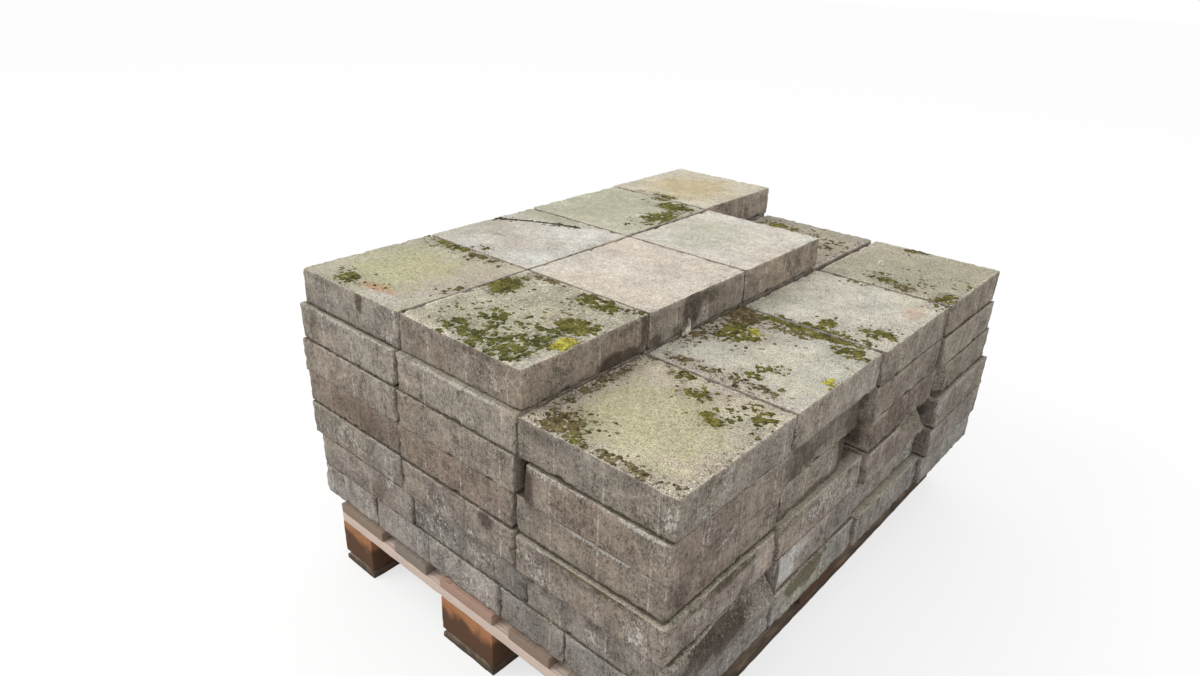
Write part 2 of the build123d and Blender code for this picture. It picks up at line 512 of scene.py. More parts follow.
# Which sides of each slab the air reaches, and how much of its top
def findOpenSides(slabs):
    for slab in slabs:
        slab["open"] = {}
        for axis, sign in ((0, -1), (0, 1), (1, -1), (1, 1)):
            blocked = 0
            for other in slabs:
                if other["level"] == slab["level"] and other is not slab:
                    ahead = (other["middle"][axis] - slab["middle"][axis]) * sign
                    if ahead > slab["half"][axis] and overlap(slab, other, axis) > -30 * mm:
                        blocked += max(0, overlap(slab, other, 1 - axis))
            slab["open"][axis, sign] = blocked < slab["half"][1 - axis]
        above = [other for other in slabs if other["level"] == slab["level"] + 1]
        area = slab["half"][0] * slab["half"][1] * 4
        covered = sum(max(0, overlap(slab, o, 0)) * max(0, overlap(slab, o, 1)) for o in above) / area
        slab["open"][2, 1] = covered < 0.6
        slab["open"][2, -1] = False


def nibSpots(length):
    last = length / 2 - slabCast["nibLast"]
    if length < 0.29:
        return [last]
    first = slabCast["nibFirst"] - length / 2
    return [first, (first + last) / 2, last]


# Which way round the ridges of a side stand
def nibTurn(side):
    return -1 if side in ((1, 1), (0, -1)) else 1


# Spacer ridges on the four sides. Returns how far up a ridge each point is.
def raiseNibs(points, flat, half):
    top = half[2] - slabCast["nibStop"]
    ridges = np.zeros(len(points))
    for axis, sign in ((0, -1), (0, 1), (1, -1), (1, 1)):
        turn = nibTurn((axis, sign))
        on = np.abs(flat[:, axis] - sign * half[axis]) < 1e-6
        below = np.clip((top - flat[on, 2]) / (3 * mm), 0, 1)
        for spot in nibSpots(2 * half[1 - axis]):
            away = np.abs(flat[on, 1 - axis] - turn * spot) / (slabCast["nibWidth"] / 2)
            points[on, axis] += sign * slabCast["nibProud"] * np.clip(1 - away, 0, 1) * below
            ridges[on] = np.maximum(ridges[on], np.clip(1.1 - away, 0, 1) * below)
    return ridges


# A flat break across a corner, rough all over
def breakCorner(points, half, corner, reachX, reachY, lean, seed):
    sx, sy = corner
    onX = np.array([sx * (half[0] - reachX * mm), sy * half[1], half[2]])
    onY = np.array([sx * half[0], sy * (half[1] - reachY * mm), half[2]])
    low = np.array([sx * (half[0] - reachX * mm + lean * mm), sy * half[1], -half[2]])
    out = np.cross(onY - onX, low - onX) * sx * sy
    out = out / np.linalg.norm(out)
    past = (points - onX) @ out
    hit = past > -4 * mm
    landed = points[hit] - out * np.maximum(past[hit], 0)[:, None]
    rough = softNoise(landed, 20 * mm, seed, 4) * 9 * mm * ease(past[hit], -4 * mm, 1 * mm)
    points[hit] = landed - out * rough[:, None]
    return hit


# Scoops knocked out of the open edges
def knockChips(points, half, openSides, count, rng):
    chipped = np.zeros(len(points))
    for _ in range(count):
        axis, sign = list(openSides)[rng.integers(len(openSides))]
        along = 1 - axis
        centre, out = np.zeros(3), np.zeros(3)
        centre[axis] = sign * half[axis]
        out[axis] = sign
        if rng.random() < 0.72:  # on the upper edge, or else on an upright one
            centre[along] = rng.uniform(-1, 1) * half[along]
            centre[2] = half[2] if rng.random() < 0.75 else -half[2]
            out[2] = np.sign(centre[2])
        else:
            end = rng.choice([-1, 1])
            centre[along] = end * half[along]
            centre[2] = rng.uniform(-1, 1) * half[2]
            out[along] = end
        out = out / np.linalg.norm(out) + rng.normal(0, 0.15, 3)
        out = out / np.linalg.norm(out)
        radius = rng.uniform(9, 26) * mm
        depth = rng.uniform(2.2, 2.2 + radius / mm * 0.16) * mm
        ball = centre + out * (radius - depth)
        away = points - ball
        far = lengthOf(away)
        hit = far < radius
        push = away[hit] / far[hit][:, None]
        points[hit] = ball + push * (radius + softNoise(points[hit], 6 * mm, 5) [:, None] * 1.4 * mm)
        chipped[hit] = 1
    return chipped


def castSlab(slab, seed):
    rng = np.random.default_rng(seed)
    half = slab["half"]
    openSides = [key for key, isOpen in slab["open"].items() if isOpen and key[0] < 2]
    dense, coarse = slabCast["openSpacing"], slabCast["hiddenSpacing"]
    topOpen = slab["open"][2, 1]
    facesX = any(key[0] == 0 for key in openSides)
    facesY = any(key[0] == 1 for key in openSides)
    # Lines on a ridge only where an open side has one
    def ridgeLines(across):
        turns = {nibTurn(key) for key in openSides if key[0] == 1 - across}
        return [spot * turn for spot in nibSpots(2 * half[across]) for turn in sorted(turns)]

    ends = [0, 1.0 * mm, 2.2 * mm, 4.5 * mm]
    lines = [
        gridLines(2 * half[0], dense if topOpen or facesY else coarse, ends, ridgeLines(0)),
        gridLines(2 * half[1], dense if topOpen or facesX else coarse, ends, ridgeLines(1)),
        gridLines(2 * half[2], dense if openSides else coarse, ends),
    ]
    borders = {(2, -1): 4 * mm, (2, 1): None if topOpen else 22 * mm}
    for key in ((0, -1), (0, 1), (1, -1), (1, 1)):
        borders[key] = None if slab["open"][key] else 5 * mm
    flat, quads, fills = boxFaces(lines, borders)
    points, out, edge = roundEdges(flat, half, slabCast["corner"], slabCast["arris"], slabCast["lowArris"])
    ridges = raiseNibs(points, flat, half)

    spot = points + slab["middle"]
    worn = np.exp(-((edge / (6 * mm)) ** 2))
    rough = np.clip(softNoise(spot, 12 * mm, 3, 4) - 0.5, 0, 1) * 3.6
    top = np.clip(out[:, 2], 0, 1)
    upper = flat[:, 2] > 0
    sink = worn * rough * slabCast["crumble"] * np.where(upper & topOpen, 1.5, 0.8)
    sink = sink + 0.5 * mm * softNoise(spot, 45 * mm, 1, 2) + (0.8 - 0.05 * top) * mm * softNoise(spot, 12 * mm, 2, 2)
    sink = sink + slabCast["topWear"] * top * (upper & topOpen)
    points -= out * sink[:, None]
    chipped = np.zeros(len(points))
    if openSides:
        chipped = knockChips(points, half, openSides, slabCast["chips"], rng)
    for layer, row, column, *breakOff in brokenCorners:
        if (layer, row, column) == (slab["layer"], slab["row"], slab["column"]):
            chipped[breakCorner(points, half, *breakOff, seed)] = 1
    return flat, points, out, edge, chipped, ridges, quads, fills


# A thin line through the given places, as a row of small marks
def lineMarks(kind, places, width, strength):
    marks = []
    for (fromU, fromV), (toU, toV) in zip(places, places[1:]):
        for share in np.arange(0, 1, 0.1):
            marks.append((kind, fromU + (toU - fromU) * share, fromV + (toV - fromV) * share, 0.02, width, strength))
    return marks


# What grows or is spread on a face: kind, place across and up the face from 0 to 1, size, strength.
# Across and up are X and Y on top, and on a side along it and Z.
growth = {
    ("top_slab_layer", 1, 1, "top"): [
        ("lichen", 0.42, 0.45, 0.42, 0.42, 1.0),
        ("green", 0.15, 0.72, 0.25, 0.3, 0.6),
        ("moss", 0.33, 0.95, 0.2, 0.05, 0.95),
        ("brownMoss", 0.62, 0.93, 0.12, 0.05, 0.75),
        ("moss", 0.36, 0.13, 0.16, 0.08, 0.85),
        ("brownMoss", 0.95, 0.45, 0.05, 0.1, 0.6),
        ("rust", 0.62, 0.14, 0.16, 0.06, 1.2),
        ("pale", 0.75, 0.08, 0.3, 0.08, 0.6),
        ("pale", 0.9, 0.3, 0.1, 0.3, 0.5),
        ("pink", 0.85, 0.5, 0.2, 0.4, 0.7),
    ],
    ("top_slab_layer", 1, 2, "top"): [
        ("moss", 0.08, 0.72, 0.13, 0.13, 1.15),
        ("brownMoss", 0.21, 0.97, 0.14, 0.05, 0.8),
        ("moss", 0.68, 0.9, 0.2, 0.1, 0.9),
        ("moss", 0.84, 0.58, 0.16, 0.11, 0.95),
        ("brightMoss", 0.94, 0.36, 0.07, 0.09, 1.2),
        ("greenMoss", 0.36, 0.13, 0.16, 0.09, 0.85),
        ("greenMoss", 0.66, 0.13, 0.3, 0.13, 0.85),
        ("greenMoss", 0.82, 0.3, 0.1, 0.1, 0.9),
        ("greenMoss", 0.6, 0.32, 0.4, 0.16, 0.55),
        ("moss", 0.35, 0.42, 0.25, 0.03, 0.5),
        ("brownMoss", 0.9, 0.95, 0.14, 0.06, 0.6),
        ("lichen", 0.5, 0.2, 0.5, 0.25, 0.5),
        ("lichen", 0.4, 0.5, 0.6, 0.5, 0.38),
        ("pale", 0.97, 0.1, 0.07, 0.3, 0.6),
        ("pale", 0.5, 0.02, 0.5, 0.05, 0.5),
    ],
    ("top_slab_layer", 2, 1, "top"): [
        ("green", 0.2, 0.9, 0.4, 0.15, 0.8),
        ("green", 0.08, 0.35, 0.15, 0.4, 0.6),
        ("pink", 0.3, 0.5, 0.3, 0.25, 0.6),
        ("moss", 0.5, 0.08, 0.06, 0.05, 0.75),
        ("damp", 0.78, 0.5, 0.1, 0.12, 0.45),
        *lineMarks("dirt", ((0.03, 0.6), (0.25, 0.74), (0.45, 0.83), (0.62, 0.88)), 0.012, 1.3),
        ("damp", 0.3, 0.72, 0.3, 0.05, 0.35),
        ("green", 0.3, 0.94, 0.4, 0.08, 0.9),
        ("pink", 0.62, 0.35, 0.2, 0.2, 0.5),
        ("damp", 0.3, 0.35, 0.12, 0.04, 0.5),
    ],
    ("top_slab_layer", 2, 2, "top"): [("pink", 0.1, 0.5, 0.1, 0.3, 0.4)],
    ("top_slab_layer", 3, 1, "top"): [
        ("green", 0.4, 0.5, 0.5, 0.5, 0.9),
        ("moss", 0.8, 0.86, 0.2, 0.13, 0.85),
        ("moss", 0.88, 0.55, 0.12, 0.24, 0.9),
        ("moss", 0.6, 0.97, 0.15, 0.05, 0.7),
    ],
    ("top_slab_layer", 3, 2, "top"): [
        ("green", 0.35, 0.45, 0.4, 0.4, 0.55),
        ("pink", 0.9, 0.4, 0.12, 0.3, 0.5),
    ],
    ("top_slab_layer", 4, 1, "top"): [
        ("sand", 0.5, 0.45, 0.42, 0.42, 1.0),
        ("moss", 0.55, 0.05, 0.15, 0.06, 0.75),
        ("damp", 0.27, 0.04, 0.08, 0.05, 0.6),
    ],
    ("slab_layer_6", 1, 3, "top"): [
        ("lichen", 0.52, 0.45, 0.42, 0.42, 1.15),
        ("moss", 0.3, 0.95, 0.1, 0.07, 0.85),
        ("moss", 0.49, 0.83, 0.09, 0.08, 0.85),
        ("moss", 0.71, 0.66, 0.09, 0.06, 1.0),
        ("pink", 0.6, 0.88, 0.08, 0.16, 1.0),
        ("moss", 0.88, 0.86, 0.1, 0.12, 0.72),
        ("brownMoss", 0.2, 0.12, 0.15, 0.12, 0.9),
        ("brownMoss", 0.62, 0.05, 0.3, 0.05, 0.72),
        ("brownMoss", 0.06, 0.45, 0.06, 0.4, 0.5),
        ("moss", 0.33, 0.04, 0.06, 0.05, 0.7),
        ("greenMoss", 0.78, 0.74, 0.16, 0.12, 0.5),
        ("stones", 0.96, 0.4, 0.07, 0.6, 0.9),
        ("stones", 0.5, 0.03, 0.5, 0.07, 0.8),
        ("damp", 0.05, 0.5, 0.08, 0.5, 0.6),
    ],
    ("slab_layer_6", 2, 3, "top"): [
        ("moss", 0.55, 0.96, 0.5, 0.08, 1.0),
        ("moss", 0.86, 0.87, 0.14, 0.12, 0.85),
        ("brownMoss", 0.1, 0.86, 0.18, 0.16, 1.1),
        ("brightMoss", 0.27, 0.66, 0.09, 0.12, 0.75),
        ("moss", 0.2, 0.6, 0.16, 0.2, 0.85),
        ("brownMoss", 0.1, 0.5, 0.12, 0.25, 0.75),
        ("brownMoss", 0.33, 0.86, 0.26, 0.1, 0.8),
        ("pink", 0.3, 0.75, 0.3, 0.15, 0.7),
        ("moss", 0.66, 0.33, 0.07, 0.04, 0.72),
        ("moss", 0.6, 0.2, 0.1, 0.05, 0.75),
        ("brownMoss", 0.6, 0.1, 0.25, 0.05, 0.8),
        ("brightMoss", 0.94, 0.43, 0.05, 0.06, 0.75),
        ("pale", 0.93, 0.14, 0.08, 0.16, 0.6),
        ("stones", 0.97, 0.5, 0.04, 0.5, 0.6),
        ("brownMoss", 0.3, 0.07, 0.25, 0.05, 0.7),
        ("pink", 0.4, 0.08, 0.35, 0.08, 0.8),
    ],
    ("slab_layer_6", 3, 3, "top"): [
        ("rust", 0.87, 0.7, 0.08, 0.17, 0.55),
        ("moss", 0.62, 0.03, 0.42, 0.05, 0.8),
        ("moss", 0.88, 0.2, 0.12, 0.1, 0.95),
        ("moss", 0.54, 0.14, 0.07, 0.08, 0.7),
        ("moss", 0.3, 0.96, 0.06, 0.04, 0.6),
        ("moss", 0.96, 0.95, 0.06, 0.1, 0.85),
        ("green", 0.1, 0.3, 0.15, 0.3, 0.5),
    ],
    ("slab_layer_6", 4, 3, "top"): [
        ("green", 0.5, 0.5, 0.5, 0.5, 0.8),
        ("moss", 0.34, 0.96, 0.1, 0.06, 1.0),
        ("moss", 0.45, 0.16, 0.12, 0.08, 0.95),
        ("brownMoss", 0.62, 0.1, 0.1, 0.08, 0.8),
        ("moss", 0.92, 0.1, 0.08, 0.14, 0.85),
        ("pale", 0.27, 0.47, 0.04, 0.045, 1.4),
        ("moss", 0.7, 0.3, 0.3, 0.3, 0.2),
    ],
    ("slab_layer_6", 4, 2, "top"): [
        ("lichen", 0.5, 0.6, 0.6, 0.4, 0.5), ("moss", 0.25, 0.75, 0.2, 0.1, 0.8), ("brownMoss", 0.6, 0.5, 0.5, 0.4, 0.35),
        ("brownMoss", 0.45, 0.55, 0.3, 0.05, 0.8), ("pink", 0.6, 0.3, 0.4, 0.3, 0.6),
    ],
    ("top_slab_layer", 2, 2, "right"): [
        ("damp", 0.42, 0.55, 0.12, 0.6, 0.9),
        ("damp", 0.6, 0.75, 0.14, 0.3, 0.7),
        ("damp", 0.06, 0.1, 0.08, 0.3, 0.8),
        ("damp", 0.27, 0.12, 0.08, 0.25, 0.7),
        ("pale", 0.4, 0.12, 0.06, 0.16, 1.4),
    ],
    ("top_slab_layer", 1, 2, "right"): [
        ("damp", 0.75, 0.12, 0.26, 0.28, 0.9), ("damp", 0.97, 0.6, 0.05, 0.6, 0.8), ("damp", 0.4, 0.05, 0.4, 0.15, 0.6),
    ],
    ("top_slab_layer", 1, 1, "front"): [("damp", 0.62, 0.75, 0.05, 0.35, 0.9), ("damp", 0.3, 0.9, 0.2, 0.14, 0.5)],
    ("top_slab_layer", 1, 2, "front"): [("damp", 0.6, 0.95, 0.3, 0.2, 0.6), ("damp", 0.15, 0.2, 0.12, 0.2, 0.4)],
    ("slab_layer_6", 1, 1, "front"): [("moss", 0.32, 0.95, 0.06, 0.1, 0.7), ("pale", 0.5, 0.98, 0.5, 0.1, 0.7)],
    ("slab_layer_6", 1, 2, "front"): [("pale", 0.5, 0.98, 0.5, 0.1, 0.8)],
    ("slab_layer_6", 1, 3, "front"): [("damp", 0.2, 0.75, 0.2, 0.3, 0.5), ("damp", 0.75, 0.9, 0.2, 0.16, 0.45)],
    ("slab_layer_4", 1, 1, "front"): [("warm", 0.5, 0.5, 0.7, 0.9, 1.0), ("damp", 0.6, 0.4, 0.5, 0.6, 0.55)],
    ("slab_layer_4", 1, 2, "front"): [("warm", 0.4, 0.5, 0.6, 0.9, 0.9)],
    ("slab_layer_5", 1, 1, "front"): [("warm", 0.5, 0.5, 0.5, 0.8, 0.4)],
    ("slab_layer_5", 1, 3, "front"): [
        ("warm", 0.5, 0.5, 0.5, 0.8, 0.7), ("pale", 0.2, 0.9, 0.3, 0.12, 0.5), ("damp", 0.05, 0.4, 0.12, 0.9, 0.9),
        ("pale", 0.85, 0.95, 0.2, 0.1, 0.9),
    ],
    ("slab_layer_5", 1, 3, "right"): [("warm", 0.4, 0.5, 0.6, 0.9, 0.7), ("damp", 0.3, 0.2, 0.2, 0.2, 0.5)],
    ("slab_layer_4", 1, 3, "right"): [("warm", 0.4, 0.5, 0.6, 0.9, 0.4), ("damp", 0.12, 0.4, 0.12, 0.5, 0.6)],
    ("slab_layer_4", 1, 3, "front"): [("pale", 0.6, 0.93, 0.4, 0.14, 0.95), ("damp", 0.25, 0.8, 0.15, 0.3, 0.4)],
    ("slab_layer_3", 1, 3, "front"): [
        ("damp", 0.35, 0.85, 0.35, 0.3, 0.55), ("moss", 0.5, 0.97, 0.35, 0.12, 1.2), ("damp", 0.7, 0.95, 0.3, 0.12, 0.6),
        ("pale", 0.45, 0.9, 0.3, 0.1, 0.5),
    ],
    ("slab_layer_3", 1, 1, "front"): [("pale", 0.45, 0.5, 0.3, 0.5, 0.45), ("damp", 0.8, 0.3, 0.15, 0.4, 0.4)],
    ("slab_layer_3", 1, 2, "front"): [("damp", 0.78, 0.8, 0.08, 0.4, 0.9), ("moss", 0.55, 0.98, 0.15, 0.08, 0.8)],
    ("slab_layer_3", 1, 3, "right"): [("moss", 0.5, 0.96, 0.45, 0.14, 0.95), ("damp", 0.45, 0.85, 0.5, 0.2, 0.7)],
    ("slab_layer_3", 2, 3, "right"): [("pale", 0.5, 0.6, 0.5, 0.4, 0.55), ("moss", 0.2, 0.85, 0.3, 0.2, 0.75)],
    ("slab_layer_2", 2, 3, "right"): [
        ("white", 0.12, 0.52, 0.11, 0.42, 0.8), ("pale", 0.3, 0.7, 0.14, 0.3, 0.7), ("damp", 0.7, 0.5, 0.4, 0.7, 0.55),
        ("damp", 0.02, 0.5, 0.03, 0.6, 1.0),
    ],
    ("bottom_slab_layer", 2, 5, "right"): [("moss", 0.38, 0.75, 0.3, 0.5, 1.3), ("green", 0.4, 0.5, 0.4, 0.6, 0.5)],
    ("slab_layer_5", 2, 3, "right"): [
        ("damp", 0.2, 0.4, 0.3, 0.6, 0.75), ("damp", 0.6, 0.6, 0.6, 0.6, 0.5), ("damp", 0.95, 0.5, 0.25, 0.9, 1.0),
    ],
    ("slab_layer_4", 2, 3, "right"): [
        ("damp", 0.85, 0.7, 0.25, 0.7, 0.9), ("pale", 0.3, 0.5, 0.2, 0.4, 0.3), ("damp", 0.4, 0.1, 0.6, 0.2, 0.7),
    ],
    ("slab_layer_5", 3, 3, "right"): [("damp", 0.5, 0.5, 0.8, 0.8, 0.5), ("damp", 0.9, 0.4, 0.2, 0.6, 0.6)],
    ("slab_layer_4", 3, 3, "right"): [("damp", 0.5, 0.5, 0.8, 0.8, 0.66)],
    ("slab_layer_3", 3, 3, "right"): [
        ("damp", 0.4, 0.4, 0.7, 0.6, 0.5), ("moss", 0.7, 0.9, 0.3, 0.2, 0.8), ("pale", 0.15, 0.2, 0.2, 0.3, 0.6),
    ],
    ("slab_layer_3", 4, 3, "right"): [("damp", 0.5, 0.5, 0.6, 0.8, 0.4)],
    ("slab_layer_4", 4, 3, "right"): [("damp", 0.5, 0.5, 0.6, 0.8, 0.5)],
    ("slab_layer_2", 1, 3, "right"): [("damp", 0.4, 0.6, 0.5, 0.5, 0.9)],
    ("slab_layer_2", 1, 2, "front"): [("pale", 0.4, 0.5, 0.6, 0.6, 0.4), ("damp", 0.9, 0.4, 0.15, 0.6, 0.5)],
    ("slab_layer_2", 1, 1, "front"): [("damp", 0.65, 0.3, 0.1, 0.3, 0.6), ("pale", 0.3, 0.6, 0.3, 0.3, 0.4)],
    ("bottom_slab_layer", 1, 3, "front"): [("pale", 0.6, 0.4, 0.4, 0.4, 0.42)],
    ("bottom_slab_layer", 1, 4, "front"): [("damp", 0.5, 0.4, 0.6, 0.7, 0.45)],
}

topTones = {
    ("top_slab_layer", 1, 1): screen(206, 199, 175),
    ("top_slab_layer", 1, 2): screen(231, 225, 201),
    ("top_slab_layer", 2, 1): screen(228, 224, 215),
    ("top_slab_layer", 2, 2): screen(228, 218, 204),
    ("top_slab_layer", 3, 1): screen(208, 205, 184),
    ("top_slab_layer", 3, 2): screen(229, 223, 211),
    ("top_slab_layer", 4, 1): screen(219, 210, 190),
    ("slab_layer_6", 1, 3): screen(230, 218, 195),
    ("slab_layer_6", 2, 3): screen(229, 224, 208),
    ("slab_layer_6", 3, 3): screen(236, 231, 216),
    ("slab_layer_6", 4, 3): screen(219, 210, 188),
    ("slab_layer_6", 4, 2): screen(200, 189, 174),
}
roughTops = {
    ("top_slab_layer", 1, 2): 0.95, ("slab_layer_6", 1, 3): 0.45, ("slab_layer_6", 4, 2): 0.65,
    ("top_slab_layer", 1, 1): 0.3, ("slab_layer_6", 2, 3): 0.38, ("slab_layer_6", 3, 3): 0.42,
    ("slab_layer_6", 4, 3): 0.6, ("top_slab_layer", 2, 1): 0.25,
}
sideTones = [screen(158, 148, 136), screen(152, 142, 131), screen(162, 149, 136), screen(149, 138, 126)]
sideGains = {  # slabs whose sides are lighter or darker than their neighbours'
    ("top_slab_layer", 1, 1): 1.08, ("top_slab_layer", 1, 2): 0.84, ("slab_layer_6", 1, 1): 1.12,
    ("slab_layer_6", 1, 2): 1.18, ("slab_layer_5", 1, 1): 1.1, ("slab_layer_5", 1, 2): 0.86,
    ("slab_layer_4", 1, 1): 0.9, ("slab_layer_4", 1, 3): 0.82, ("slab_layer_3", 1, 1): 0.88,
    ("slab_layer_3", 1, 2): 0.84, ("slab_layer_3", 1, 3): 0.88, ("slab_layer_2", 1, 1): 0.82,
    ("slab_layer_2", 1, 2): 0.76, ("bottom_slab_layer", 1, 1): 1.2, ("slab_layer_6", 2, 3): 1.2,
    ("slab_layer_5", 3, 3): 1.15, ("slab_layer_3", 4, 3): 0.82, ("slab_layer_2", 2, 3): 1.2, ("slab_layer_3", 2, 3): 0.96,
}
layerHues = {0: np.array([1.04, 1.12, 1.24]), 1: np.array([1.0, 1.04, 1.11]), 2: np.array([1.0, 1.01, 1.04])}  # greyer low down
washes = {
    "green": screen(184, 184, 158), "pink": screen(203, 187, 174), "warm": screen(146, 126, 112),
    "rust": screen(206, 138, 104), "sand": screen(208, 190, 146),
}


def faceShares(flat, half, key):
    across = {"top": 0, "front": 0, "back": 0, "left": 1, "right": 1}[key]
    up = 1 if key == "top" else 2
    return flat[:, across] / (2 * half[across]) + 0.5, flat[:, up] / (2 * half[up]) + 0.5


# How strongly a mark of the growth lists covers a place, with a ragged border
def markCover(spot, across, up, mark):
    kind, u, v, sizeU, sizeV, strength = mark
    power = 4 if kind == "white" else 2
    near = (np.abs((across - u) / sizeU) ** power + np.abs((up - v) / sizeV) ** power) ** (1 / power)
    near = near + (softNoise(spot, 30 * mm, 31, 4) - 0.5) * (0.7 if kind == "white" else 1.0)
    return ease(1.3 - near, 0, 0.9) * strength


def facing(out, key):
    axis, sign = {"top": (2, 1), "front": (1, -1), "back": (1, 1), "left": (0, -1), "right": (0, 1)}[key]
    return ease(out[:, axis] * sign, 0.35, 0.8)


def paintSlab(mesh, slab, above, flat, out, edge, chipped, ridges, seed):
    rng = np.random.default_rng(seed + 900)
    who = (slab["layer"], slab["row"], slab["column"])
    count = len(flat)
    spot = flat + slab["middle"]
    top = facing(out, "top")
    side = sideTones[rng.integers(len(sideTones))] * rng.uniform(0.95, 1.05) * sideGains.get(who, 0.97)
    crown = topTones.get(who, screen(172, 165, 150) * rng.uniform(0.92, 1.05))
    # Painted light: sides that face right are made lighter
    side = side * layerHues.get(slab["level"], 1) * (1 + 0.13 * facing(out, "right"))[:, None]
    tint = side + (crown - side) * top[:, None]
    lichen, mossy, damp, pale = (np.zeros(count) for _ in range(4))
    grit = 0.18 + 0.12 * softNoise(spot, 60 * mm, 8, 2) + top * (roughTops.get(who, 0.12) - 0.1)

    hue = softNoise(spot, 90 * mm, 21, 3)[:, None] - 0.5
    tint = tint * (1 + hue * [0.1, 0.0, -0.09])
    blotch = (softNoise(spot, 45 * mm, 61, 3) - 0.5) * 0.6 + (softNoise(spot, 13 * mm, 62, 2) - 0.5) * 0.4
    tint = tint * (1 + top * blotch * (0.4 + 1.2 * roughTops.get(who, 0.12)))[:, None]
    for face in ("top", "front", "right"):
        share = facing(out, face)
        for mark in growth.get((*who, face), ()):
            kind = mark[0]
            across, up = faceShares(flat, slab["half"], face)
            amount = markCover(spot, across, up, mark) * share
            if kind == "lichen":
                lichen = np.maximum(lichen, amount)
            elif kind.endswith("oss"):  # dirt and dead moss, further out than the live cushions
                wider = (kind, *mark[1:3], mark[3] * 1.4 + 0.03, mark[4] * 1.4 + 0.03, mark[5])
                amount = markCover(spot, across, up, wider) * share if face == "top" else amount
                mossy = np.maximum(mossy, amount * (0.45 if face == "top" else 0.62))
            elif kind == "damp":
                damp = np.maximum(damp, amount)
            elif kind in ("pale", "white"):
                pale = np.maximum(pale, amount)
                if kind == "white":
                    tint = tint + (screen(244, 246, 246) - tint) * np.clip(amount, 0, 1)[:, None]
            elif kind == "stones":
                grit = np.maximum(grit, amount)
            elif kind != "dirt":
                tint = tint + (washes[kind] - tint) * np.clip(amount * 0.75, 0, 1)[:, None]

    sides = 1 - np.clip(np.abs(out[:, 2]) * 1.4, 0, 1)
    up = flat[:, 2] / (2 * slab["half"][2]) + 0.5
    upper = np.exp(-((edge / (4.5 * mm)) ** 2)) * (up > 0.5)
    # Paler along the worn upper edges; painted highlight along the spacer ridges
    tint = tint * (1 + 0.3 * upper + 0.42 * ridges)[:, None]
    low = 0.06 if slab["level"] < 3 else 0  # more stained near the ground
    streak = softNoise(spot * [1, 1, 0.3], 26 * mm, 41, 4) + low
    damp = np.maximum(damp, sides * ease(streak, 0.54, 0.88) * 0.7)
    # Darker at the foot of each side: dirt and painted shade in the joint below
    damp = np.maximum(damp, sides * ease(0.12 - up, 0, 0.12) * 0.8)
    for other in above:  # dirt and painted shade where a slab lies on this one
        beyond = np.maximum(other["low"] - spot, spot - other["high"])[:, :2].max(axis=1)
        damp = np.maximum(damp, ease(7 * mm - beyond, 0, 8 * mm) * (out[:, 2] > 0.3) * 0.85)
    # Painted shade on the sides that face a neighbour, darker away from their open edges
    for face, (axis, sign) in (("left", (0, -1)), ("right", (0, 1)), ("front", (1, -1)), ("back", (1, 1))):
        if not slab["open"][axis, sign]:
            damp = np.maximum(damp, facing(out, face) * ease(edge, 2 * mm, 16 * mm) * 0.8)
    # Painted highlight: the spacer ridges are paler on the sides
    pale = np.maximum(pale, ridges * sides * 0.62)
    pale = np.maximum(pale, sides * ease(softNoise(spot, 50 * mm, 43, 3) + low, 0.56, 0.8) * 0.55)
    pale = np.maximum(pale, upper * ease(softNoise(spot, 30 * mm, 47, 3), 0.42, 0.6) * 0.7)
    openTop = slab["open"][2, 1]
    if not openTop:
        mossy = np.maximum(mossy, upper * ease(softNoise(spot, 70 * mm, 45, 3), 0.55, 0.8) * 0.6)
    else:
        worn = ease(20 * mm - edge, 0, 20 * mm) * top
        pale = np.maximum(pale, worn * 0.35)
        tint = tint * (1 + 0.22 * worn)[:, None]
        grit = grit + worn * 0.5
    grit = np.clip(grit + chipped * 0.5, 0, 1)
    # Chips and breaks darker: dirt and painted shade
    tint = tint * (1 - 0.12 * chipped)[:, None]

    paint(mesh, "tint", tint.T)
    paint(mesh, "growth", (lichen, mossy, grit))
    # The stain's first channel holds damp stains and painted shade
    paint(mesh, "stain", (damp, pale, sides))


def makeSlabs():
    slabs = findSlabs()
    findOpenSides(slabs)
    for number, slab in enumerate(slabs):
        name = f"{slab['layer']}_r{slab['row']}_c{slab['column']}"
        flat, points, out, edge, chipped, ridges, quads, fills = castSlab(slab, number)
        mesh = newMesh(name, points + slab["middle"], quads, fills)
        above = [other for other in slabs if other["level"] == slab["level"] + 1]
        paintSlab(mesh, slab, above, flat, out, edge, chipped, ridges, number)
        place(name, mesh, concrete, [slab["layer"]], "concrete")
    return slabs


slabs = makeSlabs()
print("slabs cast:", len(slabs))


# Moss

mossMat = {
    "spacing": 1.3 * mm,
    "cushionPitch": 2.3 * mm,
    "cushionRadius": (1.3 * mm, 3.2 * mm),
    "cushionHeight": (0.7 * mm, 2.2 * mm),
    "moss": (screen(74, 73, 36), screen(136, 130, 66)),
    "greenMoss": (screen(64, 68, 36), screen(128, 127, 68)),
    "brownMoss": (screen(78, 69, 46), screen(138, 124, 86)),
    "brightMoss": (screen(138, 132, 52), screen(208, 199, 92)),
    "dirt": (screen(58, 52, 42), screen(104, 94, 74)),
}


